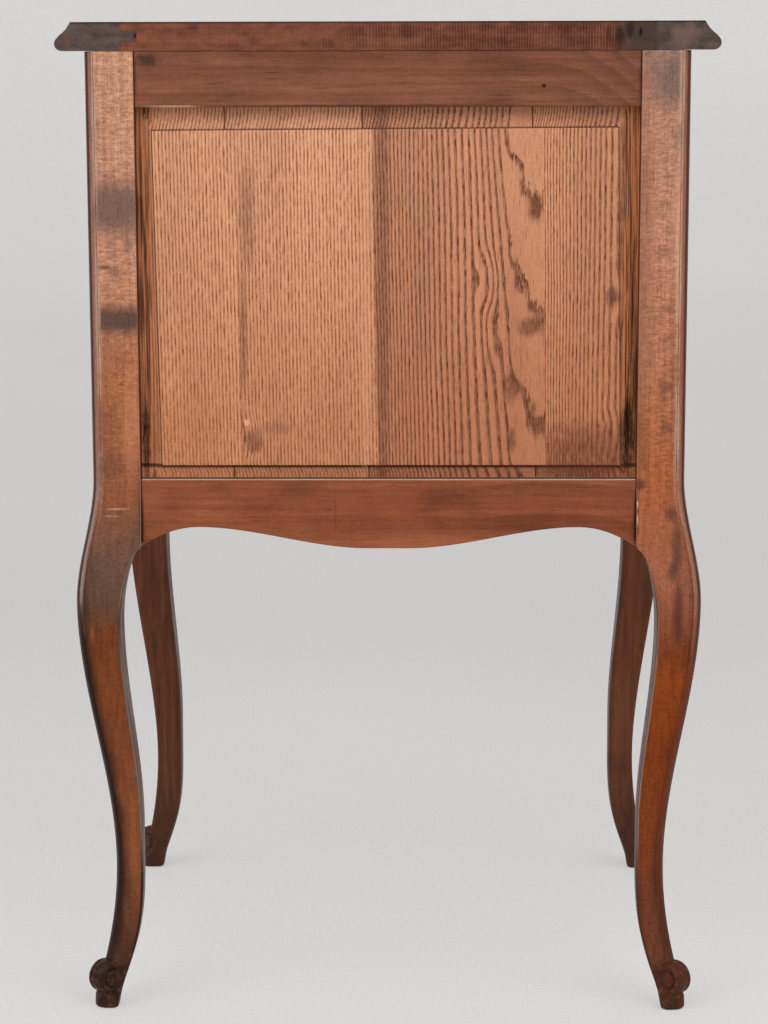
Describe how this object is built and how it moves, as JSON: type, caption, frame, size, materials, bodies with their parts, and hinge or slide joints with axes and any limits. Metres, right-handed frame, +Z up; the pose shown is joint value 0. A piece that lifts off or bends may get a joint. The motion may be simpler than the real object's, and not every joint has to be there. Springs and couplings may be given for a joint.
{
  "type": "nightstand",
  "caption": "Wooden bedside table on cabriole legs with scroll feet, a framed and panelled back and sides, a moulded top, and drawers with swinging brass pulls.",
  "frame": {"origin": "on the floor, at the middle of the whole object's plan", "axes": "+Z up, the drawers face -Y, the panelled back faces +Y, +X to the right seen from the front"},
  "size_m": [0.4656, 0.3996, 0.72],
  "materials": {
    "walnut": "waxed",
    "stained_walnut": "matt stain",
    "chestnut": "matt, thinly stained",
    "poplar": "bare",
    "brass": "aged"
  },
  "bodies": {
    "carcass": {"top_board": "walnut", "top_end_left": "walnut", "top_end_right": "walnut", "leg_front_left": "walnut", "leg_front_right": "walnut", "leg_back_left": "walnut", "leg_back_right": "walnut", "back_top_rail": "stained_walnut", "back_apron": "stained_walnut", "back_panel_board_1": "chestnut", "back_panel_board_2": "chestnut", "back_panel_board_3": "chestnut", "back_panel_board_4": "chestnut", "side_top_rail_left": "walnut", "side_top_rail_right": "walnut", "side_apron_left": "walnut", "side_apron_right": "walnut", "side_panel_left": "walnut", "side_panel_right": "walnut", "front_top_rail": "walnut", "front_apron": "walnut", "drawer_divider_lower": "walnut", "drawer_divider_upper": "walnut", "drawer_runner_lower_left": "poplar", "drawer_runner_lower_right": "poplar", "drawer_runner_middle_left": "poplar", "drawer_runner_middle_right": "poplar", "drawer_runner_upper_left": "poplar", "drawer_runner_upper_right": "poplar", "drawer_kicker_left": "poplar", "drawer_kicker_right": "poplar"},
    "drawer_lower": {"drawer_lower_front": "walnut", "drawer_lower_side_left": "poplar", "drawer_lower_side_right": "poplar", "drawer_lower_back": "poplar", "drawer_lower_bottom": "poplar", "pull_plate_lower": "brass", "pull_nut_lower_left": "brass", "pull_nut_lower_right": "brass"},
    "drawer_middle": {"drawer_middle_front": "walnut", "drawer_middle_side_left": "poplar", "drawer_middle_side_right": "poplar", "drawer_middle_back": "poplar", "drawer_middle_bottom": "poplar", "pull_plate_middle": "brass", "pull_nut_middle_left": "brass", "pull_nut_middle_right": "brass"},
    "drawer_upper": {"drawer_upper_front": "walnut", "drawer_upper_side_left": "poplar", "drawer_upper_side_right": "poplar", "drawer_upper_back": "poplar", "drawer_upper_bottom": "poplar", "pull_plate_upper": "brass", "pull_nut_upper_left": "brass", "pull_nut_upper_right": "brass"},
    "bail_lower": {"pull_bail_lower": "brass"},
    "bail_middle": {"pull_bail_middle": "brass"},
    "bail_upper": {"pull_bail_upper": "brass"}
  },
  "joints": [
    {"name": "drawer_lower_slide", "type": "slide", "parent": "carcass", "child": "drawer_lower", "axis": [0, -1, 0], "range_m": [0, 0.22]},
    {"name": "drawer_middle_slide", "type": "slide", "parent": "carcass", "child": "drawer_middle", "axis": [0, -1, 0], "range_m": [0, 0.22]},
    {"name": "drawer_upper_slide", "type": "slide", "parent": "carcass", "child": "drawer_upper", "axis": [0, -1, 0], "range_m": [0, 0.22]},
    {"name": "bail_lower_swing", "type": "hinge", "parent": "drawer_lower", "child": "bail_lower", "pos_m": [0, -0.1935, 0.43917], "axis": [-1, 0, 0], "range_deg": [-15, 150]},
    {"name": "bail_middle_swing", "type": "hinge", "parent": "drawer_middle", "child": "bail_middle", "pos_m": [0, -0.1935, 0.5395], "axis": [-1, 0, 0], "range_deg": [-15, 150]},
    {"name": "bail_upper_swing", "type": "hinge", "parent": "drawer_upper", "child": "bail_upper", "pos_m": [0, -0.1935, 0.63983], "axis": [-1, 0, 0], "range_deg": [-15, 150]}
  ]
}
